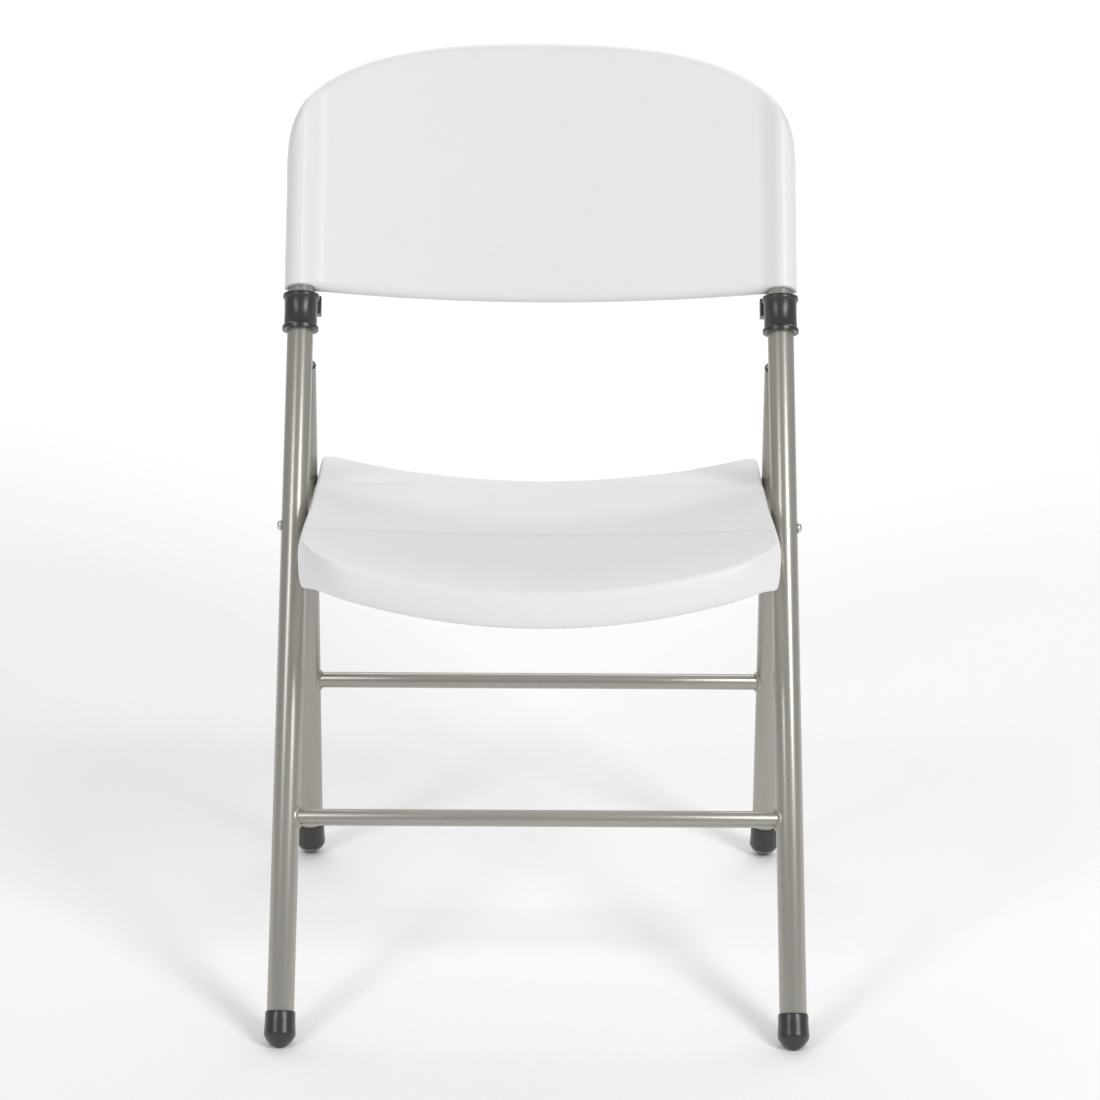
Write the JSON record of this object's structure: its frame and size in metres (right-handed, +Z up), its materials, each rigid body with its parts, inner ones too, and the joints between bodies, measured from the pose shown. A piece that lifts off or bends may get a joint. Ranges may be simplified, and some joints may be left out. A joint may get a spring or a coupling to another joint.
{
  "type": "folding chair",
  "caption": "Folding chair with a dished moulded seat and curved back on a steel tube frame with capped feet.",
  "frame": {"origin": "centre of the object's box, at floor level", "axes": "+Z up, the chair faces -Y, +X to the left of a person sitting on it"},
  "size_m": [0.5078, 0.5698, 0.8284],
  "materials": {
    "frame": "satin powder coat",
    "shell": "fine moulded texture",
    "black_plastic": "satin",
    "zinc": "zinc plated"
  },
  "bodies": {
    "front_frame": {"front_tube_left": "frame", "front_tube_right": "frame", "front_crossbar": "frame", "front_foot_left": "black_plastic", "front_foot_right": "black_plastic", "seat_pivot_rivet_left": "zinc", "seat_pivot_rivet_right": "zinc", "seat_pivot_spacer_left": "black_plastic", "seat_pivot_spacer_right": "black_plastic", "hinge_clevis_left": "frame", "hinge_clevis_right": "frame", "leg_hinge_rivet_left": "zinc", "leg_hinge_rivet_right": "zinc", "collar_left": "black_plastic", "collar_right": "black_plastic", "collar_screw_left": "zinc", "collar_screw_right": "zinc", "back_shell": "shell", "back_screw_left": "zinc", "back_screw_right": "zinc"},
    "rear_frame": {"rear_tube_left": "frame", "rear_tube_right": "frame", "rear_crossbar": "frame", "rear_foot_left": "black_plastic", "rear_foot_right": "black_plastic", "hinge_tongue_left": "frame", "hinge_tongue_right": "frame", "rear_tube_plug_left": "black_plastic", "rear_tube_plug_right": "black_plastic", "slide_pin_left": "zinc", "slide_pin_right": "zinc", "slide_washer_left": "black_plastic", "slide_washer_right": "black_plastic"},
    "seat": {"seat_shell": "shell", "seat_bracket_left": "frame", "seat_bracket_right": "frame", "seat_screw_left_1": "zinc", "seat_screw_left_2": "zinc", "seat_screw_left_3": "zinc", "seat_screw_right_1": "zinc", "seat_screw_right_2": "zinc", "seat_screw_right_3": "zinc"}
  },
  "joints": [
    {"name": "leg_fold", "type": "hinge", "parent": "front_frame", "child": "rear_frame", "pos_m": [0, 0.11586, 0.55592], "axis": [-1, 0, 0], "range_deg": [0, 36.51]},
    {"name": "seat_fold", "type": "hinge", "parent": "front_frame", "child": "seat", "pos_m": [0, -0.00833, 0.4186], "axis": [1, 0, 0], "range_deg": [0, 61.2]}
  ],
  "couplings": [
    {"joint": "seat_fold", "follows": "leg_fold", "ratio": 1.6763}
  ]
}
